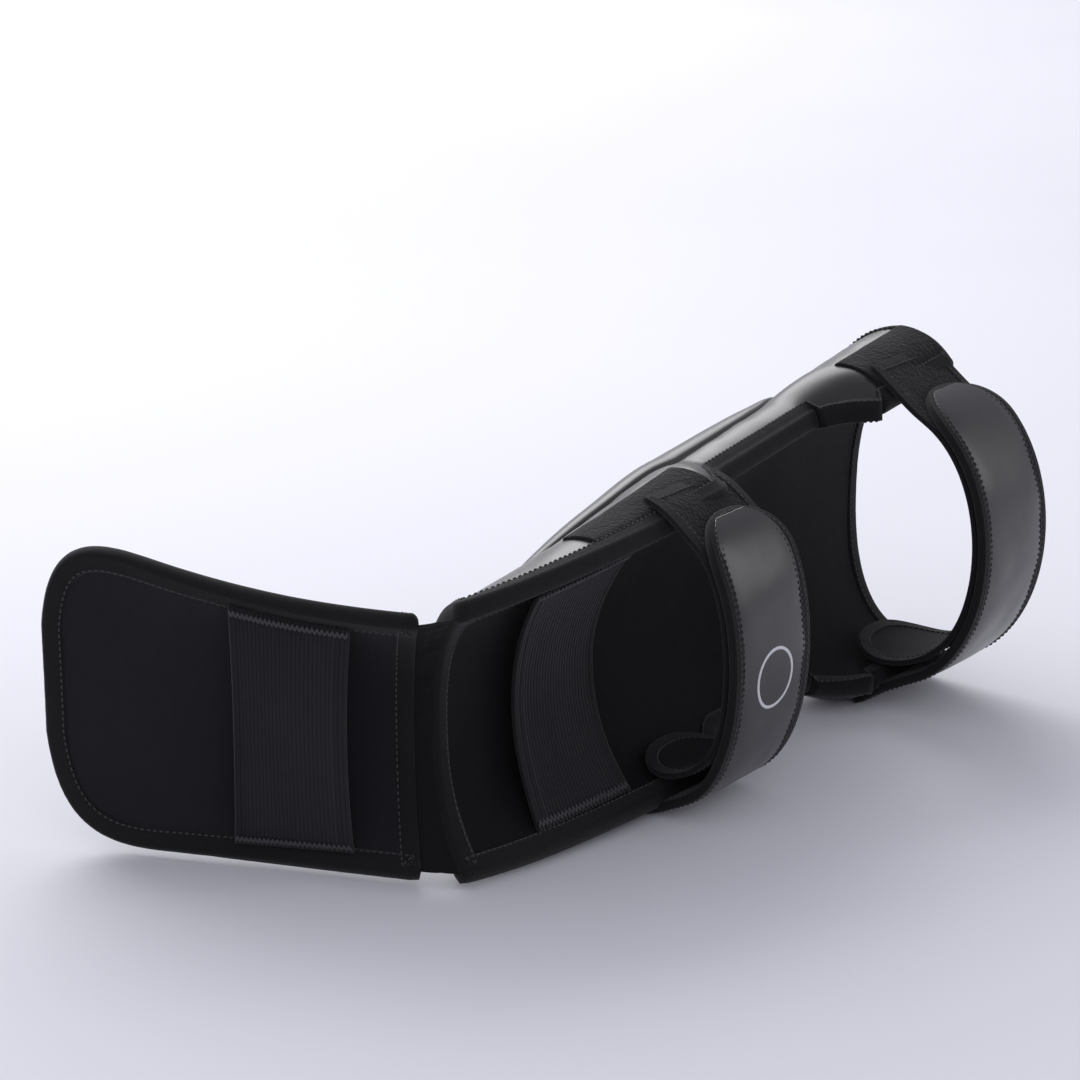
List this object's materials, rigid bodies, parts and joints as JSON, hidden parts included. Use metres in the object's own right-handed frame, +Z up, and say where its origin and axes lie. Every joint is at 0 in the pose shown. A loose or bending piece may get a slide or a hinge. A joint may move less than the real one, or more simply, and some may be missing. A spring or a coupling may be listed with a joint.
{
  "type": "shin and instep guard",
  "caption": "Padded shin and instep guard on its side: long trough-shaped shin pad, hinged instep pad, two calf straps over tongues, ankle and foot elastics.",
  "frame": {"origin": "middle of the guard's footprint on the surface that it lies on", "axes": "+X along the shin from ankle to knee, +Y out of the front of the shin, -Y through the calf opening, +Z up as it lies on its side"},
  "size_m": [0.5054, 0.3066, 0.2106],
  "materials": {
    "lining": "smooth dense woven lining, matte",
    "foam": "closed-cell foam, matte",
    "leather": "smooth synthetic leather, semi-gloss with fine creases",
    "binding": "folded woven edge tape, matte",
    "gusset": "gathered stretch fabric, matte",
    "elastic": "ribbed elastic webbing, matte",
    "thread": "grey bar-tack thread",
    "hook": "hook tape, fine stiff hooks",
    "loop": "fuzzy loop pile",
    "print": "printed ring, matte"
  },
  "bodies": {
    "shin": {"shin_lining": "lining", "shin_foam": "foam", "shin_cover": "leather", "shin_binding": "binding", "ridge_foam": "foam", "ridge_cover": "leather", "ankle_gusset": "gusset", "ankle_elastic": "elastic", "ankle_bar_tacks": "thread", "lower_loop_patch": "loop", "upper_loop_patch": "loop"},
    "foot": {"foot_lining": "lining", "foot_foam": "foam", "foot_cover": "leather", "foot_binding": "binding", "instep_foam": "foam", "instep_cover": "leather", "foot_elastic": "elastic", "foot_bar_tacks": "thread"},
    "lower_strap": {"lower_strap_binding": "binding", "lower_strap_leather": "leather", "lower_strap_core": "foam", "lower_strap_hook": "hook", "strap_emblem": "print"},
    "lower_tongue": {"lower_tongue_binding": "binding", "lower_tongue_loop_pile": "loop", "lower_tongue_lining": "lining"},
    "upper_strap": {"upper_strap_binding": "binding", "upper_strap_leather": "leather", "upper_strap_core": "foam", "upper_strap_hook": "hook"},
    "upper_tongue": {"upper_tongue_binding": "binding", "upper_tongue_loop_pile": "loop", "upper_tongue_lining": "lining"}
  },
  "joints": [
    {"name": "ankle_fold", "type": "hinge", "parent": "shin", "child": "foot", "pos_m": [-0.14577, -0.02632, 0.07], "axis": [0, 0, 1], "range_deg": [-15, 20], "deforming": ["ankle_gusset"]},
    {"name": "lower_strap_open", "type": "hinge", "parent": "shin", "child": "lower_strap", "pos_m": [0.00722, -0.08868, 0.01259], "axis": [1, 0, 0], "range_deg": [0, 60]},
    {"name": "lower_tongue_swing", "type": "hinge", "parent": "shin", "child": "lower_tongue", "pos_m": [0.00722, -0.08868, 0.15654], "axis": [1, 0, 0], "range_deg": [-12, 0]},
    {"name": "upper_strap_open", "type": "hinge", "parent": "shin", "child": "upper_strap", "pos_m": [0.21623, -0.09209, 0.02037], "axis": [1, 0, 0], "range_deg": [0, 60]},
    {"name": "upper_tongue_swing", "type": "hinge", "parent": "shin", "child": "upper_tongue", "pos_m": [0.21623, -0.09209, 0.17913], "axis": [1, 0, 0], "range_deg": [-12, 0]}
  ],
  "couplings": [
    {"joint": "lower_tongue_swing", "follows": "lower_strap_open", "ratio": -0.2},
    {"joint": "upper_tongue_swing", "follows": "upper_strap_open", "ratio": -0.2}
  ]
}
